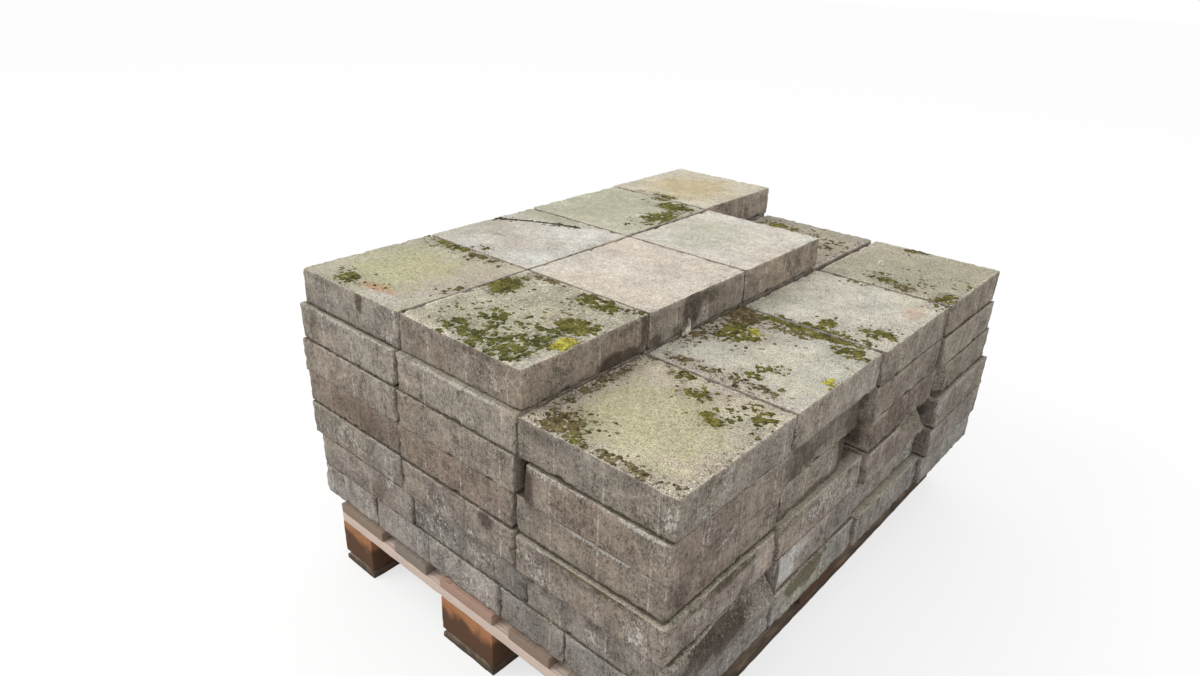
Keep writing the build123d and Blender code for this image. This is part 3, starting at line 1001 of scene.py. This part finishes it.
# A low mat of rounded cushions over the places where moss grows on one slab's top
def growMoss(slab, marks, seed):
    rng = np.random.default_rng(seed + 4000)
    spacing = mossMat["spacing"]
    low, high = slab["low"] + 3 * mm, slab["high"] - 3 * mm
    xs = np.arange(low[0], high[0], spacing)
    ys = np.arange(low[1], high[1], spacing)

    def spread(x, y):
        spot = np.stack([x, y, np.full_like(x, slab["high"][2])], axis=1)
        across = (x - slab["low"][0]) / (2 * slab["half"][0])
        up = (y - slab["low"][1]) / (2 * slab["half"][1])
        most, kinds = np.zeros(len(x)), np.zeros(len(x), int)
        for number, mark in enumerate(marks):
            crumbs = (*mark[:3], mark[3] * 1.7 + 0.03, mark[4] * 1.7 + 0.03, mark[5] * 0.2)
            amount = np.maximum(markCover(spot, across, up, mark), markCover(spot, across, up, crumbs))
            kinds = np.where(amount > most, number, kinds)
            most = np.maximum(most, amount)
        ragged = (softNoise(spot, 18 * mm, 53, 2) - 0.5) * 1.0 + (softNoise(spot, 6.5 * mm, 51, 2) - 0.5) * 2.2
        return np.where(most > 0.06, most * 0.88 + ragged, 0), kinds, softNoise(spot, 14 * mm, 52, 2)

    pitch = mossMat["cushionPitch"]
    seedX, seedY = np.meshgrid(np.arange(low[0], high[0], pitch), np.arange(low[1], high[1], pitch))
    seedX = (seedX + rng.uniform(-0.5, 0.5, seedX.shape) * pitch).ravel()
    seedY = (seedY + rng.uniform(-0.5, 0.5, seedY.shape) * pitch).ravel()
    thick, kinds, hue = spread(seedX, seedY)
    grows = thick > 0.62
    height = np.zeros((len(xs), len(ys)))
    tint = np.zeros((len(xs), len(ys), 3))
    lowRadius, highRadius = mossMat["cushionRadius"]
    lowHeight, highHeight = mossMat["cushionHeight"]
    for x, y, amount, kind, warmth in zip(seedX[grows], seedY[grows], thick[grows], kinds[grows], hue[grows]):
        full = min(1, (amount - 0.62) * 1.6)
        radius = lowRadius + (highRadius - lowRadius) * (0.35 * full + 0.65 * rng.random())
        tall = (lowHeight + (highHeight - lowHeight) * full) * rng.uniform(0.6, 1.1)
        first, second = mossMat[marks[kind][0]]
        colour = first + (second - first) * np.clip(warmth * 1.5 - 0.35 + rng.uniform(-0.5, 0.5), 0, 1)
        i, j = int((x - xs[0]) / spacing), int((y - ys[0]) / spacing)
        reach = int(radius / spacing) + 1
        a, b, c, d = max(i - reach, 0), i + reach + 2, max(j - reach, 0), j + reach + 2
        away = ((xs[a:b, None] - x) ** 2 + (ys[None, c:d] - y) ** 2) / radius**2
        dome = tall * np.sqrt(np.clip(1 - away, 0, 1))
        higher = dome > height[a:b, c:d]
        height[a:b, c:d][higher] = dome[higher]
        tint[a:b, c:d][higher] = colour * (0.5 + 0.5 * dome[higher] / tall)[:, None]  # painted shade, darker down between the cushions
    return xs, ys, height, tint


# Points at the foot of the moss take the colour of the cushions beside them
def spreadTint(tint, kept):
    total, weight = np.zeros_like(tint), np.zeros(kept.shape)
    for shift in ((i, j) for i in (-1, 0, 1) for j in (-1, 0, 1)):
        total += np.roll(tint * kept[..., None], shift, (0, 1))
        weight += np.roll(kept, shift, (0, 1))
    return np.where(kept[..., None], tint, total / np.maximum(weight, 1)[..., None])


def mossMesh(name, slabList, kinds=("moss", "greenMoss", "brownMoss", "brightMoss", "dirt")):
    allPoints, allQuads, allTints, start = [], [], [], 0
    for number, slab in slabList:
        marks = [m for m in growth.get((slab["layer"], slab["row"], slab["column"], "top"), ()) if m[0] in kinds]
        if not marks:
            continue
        xs, ys, height, tint = growMoss(slab, marks, number)
        kept = height > 0.25 * mm
        cells = kept[:-1, :-1] | kept[1:, :-1] | kept[1:, 1:] | kept[:-1, 1:]
        ids = np.arange(height.size).reshape(height.shape)
        quads = np.stack([ids[:-1, :-1], ids[1:, :-1], ids[1:, 1:], ids[:-1, 1:]], axis=-1)[cells]
        used, packed = np.unique(quads, return_inverse=True)
        quads = packed.reshape(-1, 4)
        at = np.unravel_index(used, height.shape)
        ground = slab["high"][2] - slabCast["topWear"] - 0.5 * mm
        z = np.where(kept[at], ground + height[at], ground - 1 * mm)
        points = np.stack([xs[at[0]], ys[at[1]], np.minimum(z, cadBox[1][2])], axis=1)
        points[:, :2] += (np.random.default_rng(number).random((len(points), 2)) - 0.5) * 0.8 * mm
        allPoints.append(points)
        allQuads.append(quads + start)
        allTints.append(spreadTint(tint, kept)[at])
        start += len(points)
    mesh = newMesh(name, np.concatenate(allPoints), np.concatenate(allQuads))
    paint(mesh, "tint", np.concatenate(allTints).T)
    return mesh


numbered = list(enumerate(slabs))
for name, layer in (("moss_top_layer", "top_slab_layer"), ("moss_layer_6", "slab_layer_6")):
    place(name, mossMesh(name, [s for s in numbered if s[1]["layer"] == layer]), moss, [])
print("moss grown")


# Loose grit that has crumbled off the slabs and lies on them
looseGrit = {
    "radius": (0.7 * mm, 2.4 * mm),
    "tones": (screen(120, 111, 94), screen(226, 219, 202)),
    "lumps": [  # row and column in layer 6, place across and up the slab, radius and height above it
        (2, 3, 0.01, 0.35, 4.5 * mm, 0), (2, 3, 0.012, 0.375, 6 * mm, 0), (2, 3, 0.006, 0.4, 7 * mm, 3 * mm),
        (2, 3, 0.004, 0.415, 6 * mm, 10 * mm), (2, 3, 0.002, 0.42, 5 * mm, 17 * mm), (2, 3, 0.0, 0.41, 4 * mm, 24 * mm),
        (4, 3, 0.27, 0.47, 7 * mm, 0), (4, 3, 0.3, 0.45, 4 * mm, 0),
    ],
    "spread": [  # row and column in layer 6, from and to across the slab and up it, how many
        (1, 3, (0.01, 0.1), (0.02, 0.98), 230),
        (1, 3, (0.2, 0.9), (0.01, 0.07), 130),
        (1, 3, (0.91, 0.99), (0.03, 0.8), 90),
        (2, 3, (0.01, 0.14), (0.02, 0.98), 120),
        (2, 3, (0.1, 0.8), (0.01, 0.1), 90),
        (3, 3, (0.01, 0.3), (0.02, 0.95), 60),
        (4, 3, (0.1, 0.95), (0.05, 0.3), 60),
        (4, 2, (0.05, 0.9), (0.05, 0.95), 90),
    ],
}


def scatterGrit(slabs):
    rng = np.random.default_rng(77)
    ball = bmesh.new()
    bmesh.ops.create_icosphere(ball, subdivisions=1, radius=1)
    shape = np.array([vertex.co[:] for vertex in ball.verts])
    faces = np.array([[vertex.index for vertex in face.verts] for face in ball.faces])
    ball.free()
    low, high = looseGrit["radius"]
    dark, light = looseGrit["tones"]
    points, tints = [], []

    def drop(row, column, across, up, radius, lift, tone):
        slab = next(s for s in slabs if (s["layer"], s["row"], s["column"]) == ("slab_layer_6", row, column))
        stone = shape * radius * rng.uniform(0.7, 1.25, 3) * (1 + rng.uniform(-0.16, 0.16, (len(shape), 1)))
        spot = slab["low"] + 2 * slab["half"] * [across, up, 1]
        spot[2] += 0.3 * radius - slabCast["topWear"] - 0.6 * mm + lift
        points.append(stone + spot)
        tints.append(np.tile(tone, (len(shape), 1)))

    for row, column, across, up, count in looseGrit["spread"]:
        for _ in range(count):
            radius = low + (high - low) * rng.random() ** 2.2
            drop(row, column, rng.uniform(*across), rng.uniform(*up), radius, 0, dark + (light - dark) * rng.random())
    for lump in looseGrit["lumps"]:
        drop(*lump, light)
    quads = np.concatenate([faces + number * len(shape) for number in range(len(points))])
    mesh = newMesh("loose_grit", np.concatenate(points), quads)
    paint(mesh, "tint", np.concatenate(tints).T)
    paint(mesh, "growth", (0, 0, 0.1))
    paint(mesh, "stain", (0, 0, 0))
    place("loose_grit", mesh, concrete, [])


scatterGrit(slabs)
print("grit scattered")


# Timber pallet

sawn = {"spacing": 18 * mm, "arris": 1.8 * mm, "wear": 1.6 * mm}
timberLooks = {  # fresh colour, how grey and how damp
    "deck_board_1": (screen(158, 134, 114), 0.5, 0.2),
    "deck_board_2": (screen(158, 144, 132), 0.75, 0.2),
    "deck_board_3": (screen(186, 154, 138), 0.25, 0.12),
    "deck_board_4": (screen(156, 132, 114), 0.5, 0.25),
    "deck_board_5": (screen(160, 140, 118), 0.7, 0.3),
    "stringer_board_front": (screen(226, 206, 192), 0.08, 0.0),
    "stringer_board_middle": (screen(196, 168, 140), 0.4, 0.15),
    "stringer_board_back": (screen(190, 164, 138), 0.5, 0.15),
    "bottom_board_left": (screen(170, 140, 110), 0.6, 0.45),
    "bottom_board_centre": (screen(170, 140, 110), 0.6, 0.45),
    "bottom_board_right": (screen(170, 140, 110), 0.6, 0.45),
}
blockLook = (screen(178, 124, 86), 0.12, 0.3)


def sawPiece(node, seed):
    rng = np.random.default_rng(seed + 7000)
    low, high = (np.array(corner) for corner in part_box(node))
    half, middle = (high - low) / 2, (low + high) / 2
    isBlock = node.startswith("block")
    along = 0 if node.startswith("stringer") else 1
    ends = [0, 0.8 * mm, 2 * mm, 5 * mm]
    spacing = [sawn["spacing"] if axis == along and not isBlock else 9 * mm for axis in range(3)]
    lines = [gridLines(2 * half[axis], spacing[axis], ends) for axis in range(3)]
    borders = {key: None for key in ((0, -1), (0, 1), (1, -1), (1, 1), (2, -1), (2, 1))}
    flat, quads, fills = boxFaces(lines, borders)
    if node.startswith("bottom"):  # bevelled upper edges, 12 mm
        over = (half[0] - 12 * mm) - np.abs(flat[:, 0])
        upper = flat[:, 2] > half[2] - 12 * mm
        drop = np.clip(-over, 0, 12 * mm)
    points, out, edge = roundEdges(flat, half, sawn["arris"], sawn["arris"], sawn["arris"])
    if node.startswith("bottom"):
        limit = half[2] - drop
        points[:, 2] = np.minimum(points[:, 2], limit)
    spot = points + middle
    worn = np.exp(-((edge / (4 * mm)) ** 2))
    sink = worn * np.clip(softNoise(spot, 14 * mm, 11, 4) - 0.42, 0, 1) * 2 * sawn["wear"]
    sink = sink + 0.7 * mm * softNoise(spot, 60 * mm, 12, 2) + 0.3 * mm * softNoise(spot, 6 * mm, 13, 2)
    points -= out * sink[:, None]

    mesh = newMesh(node + "_sawn", points + middle, quads, fills)
    fresh, grey, damp = timberLooks.get(node, blockLook)
    across = [axis for axis in range(3) if axis != along]
    heart = rng.uniform(0.02, 0.09, 2) * rng.choice([-1, 1], 2)
    grain = np.stack([
        points[:, across[0]] + heart[0], points[:, across[1]] + heart[1], points[:, along] + rng.uniform(0, 9),
    ], axis=1)
    stored = mesh.attributes.new("grain", "FLOAT_VECTOR", "POINT")
    stored.data.foreach_set("vector", grain.astype(np.float32).ravel())
    paint(mesh, "tint", np.tile(fresh * rng.uniform(0.94, 1.06), (len(points), 1)).T)
    endGrain = np.abs(out[:, along])
    under = ease(-out[:, 2], 0.4, 0.9)
    wet = damp + 0.35 * under + 0.4 * ease(0.03 - spot[:, 2], 0, 0.03)
    if isBlock:  # water stands under the blocks and draws up into them
        wet = wet + 0.75 * ease(0.07 + 0.05 * softNoise(spot, 30 * mm, 14, 3) - spot[:, 2], 0, 0.05)
    paint(mesh, "stain", (np.full(len(points), grey), wet, endGrain))
    return place(node + "_sawn", mesh, timber, [node], "timber")


timberNodes = [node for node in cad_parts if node.startswith(("deck", "stringer", "block", "bottom_board"))]
for number, node in enumerate(sorted(timberNodes)):
    sawPiece(node, number)
print("timber sawn:", len(timberNodes))


# Floor, light and camera

studio = {
    "skyTop": 1.05,
    "skyLow": 0.52,
    "keyPower": 130,
    "keyPlace": (-3.2, -4.0, 4.6),
    "keySize": 3.0,
    "floorTone": 0.55,
}


def makeFloor():
    mesh = bpy.data.meshes.new("floor")
    mesh.from_pydata([(-30, -30, 0), (30, -30, 0), (30, 30, 0), (-30, 30, 0)], [], [(0, 1, 2, 3)])
    material, wire = newFinish("paleFloor")
    seen = wire.node("ShaderNodeLightPath", {}, {}, "Is Camera Ray")
    tone = studio["floorTone"] + (1 - studio["floorTone"]) * seen
    matt = wire.node("ShaderNodeBsdfDiffuse", {}, {"Color": wire.node("ShaderNodeCombineColor", {}, {0: tone, 1: tone, 2: tone})})
    bright = wire.node("ShaderNodeEmission", {}, {"Color": (1, 1, 1, 1), "Strength": 1.0})
    mixed = wire.node("ShaderNodeMixShader", {}, {0: seen * 0.7, 1: matt, 2: bright})
    wire.node("ShaderNodeOutputMaterial", {}, {"Surface": mixed})
    mesh.materials.append(material)
    floor = bpy.data.objects.new("floor", mesh)
    bpy.context.scene.collection.objects.link(floor)
    floor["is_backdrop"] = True


def makeSky():
    world = bpy.data.worlds.new("studioSky")
    bpy.context.scene.world = world
    world.use_nodes = True
    world.node_tree.nodes.clear()
    wire = Wire(world.node_tree)
    up = wire.node("ShaderNodeSeparateXYZ", {}, {0: wire.node("ShaderNodeTexCoord", output="Generated")}, 2)
    level = up.step(-0.1, 0.9) * (studio["skyTop"] - studio["skyLow"]) + studio["skyLow"]
    seen = wire.node("ShaderNodeLightPath", {}, {}, "Is Camera Ray")
    level = seen + (1 - seen) * level
    sky = wire.node("ShaderNodeBackground", {}, {"Color": (1, 1, 1, 1), "Strength": level})
    wire.node("ShaderNodeOutputWorld", {}, {"Surface": sky})


def makeLamp():
    lamp = bpy.data.lights.new("key", "AREA")
    lamp.energy = studio["keyPower"]
    lamp.size = studio["keySize"]
    lamp.color = (1.0, 0.985, 0.96)
    holder = bpy.data.objects.new("key", lamp)
    holder.location = studio["keyPlace"]
    direction = -holder.location.copy()
    direction.z += 0.4
    holder.rotation_euler = direction.to_track_quat("-Z", "Y").to_euler()
    bpy.context.scene.collection.objects.link(holder)


view = {"place": (0.9103, -1.2981, 1.1882), "azimuth": 40.978, "down": 24.939, "roll": 1.803, "lens": 24.325}


def makeCamera():
    camera = bpy.data.cameras.new("camera")
    camera.sensor_width = 36
    camera.lens = view["lens"]
    camera.clip_end = 100
    holder = bpy.data.objects.new("camera", camera)
    turn = Matrix.Rotation(radians(view["azimuth"]), 3, "Z") @ Matrix.Rotation(radians(90 - view["down"]), 3, "X")
    turn = turn @ Matrix.Rotation(radians(view["roll"]), 3, "Z")
    holder.rotation_euler = turn.to_euler()
    holder.location = view["place"]
    bpy.context.scene.collection.objects.link(holder)
    bpy.context.scene.camera = holder


makeFloor()
makeSky()
makeLamp()
makeCamera()
bpy.context.scene.view_settings.view_transform = "Standard"

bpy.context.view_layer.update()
triangles = sum(sum(len(p.vertices) - 2 for p in piece.data.polygons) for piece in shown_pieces())
print("triangles:", triangles)
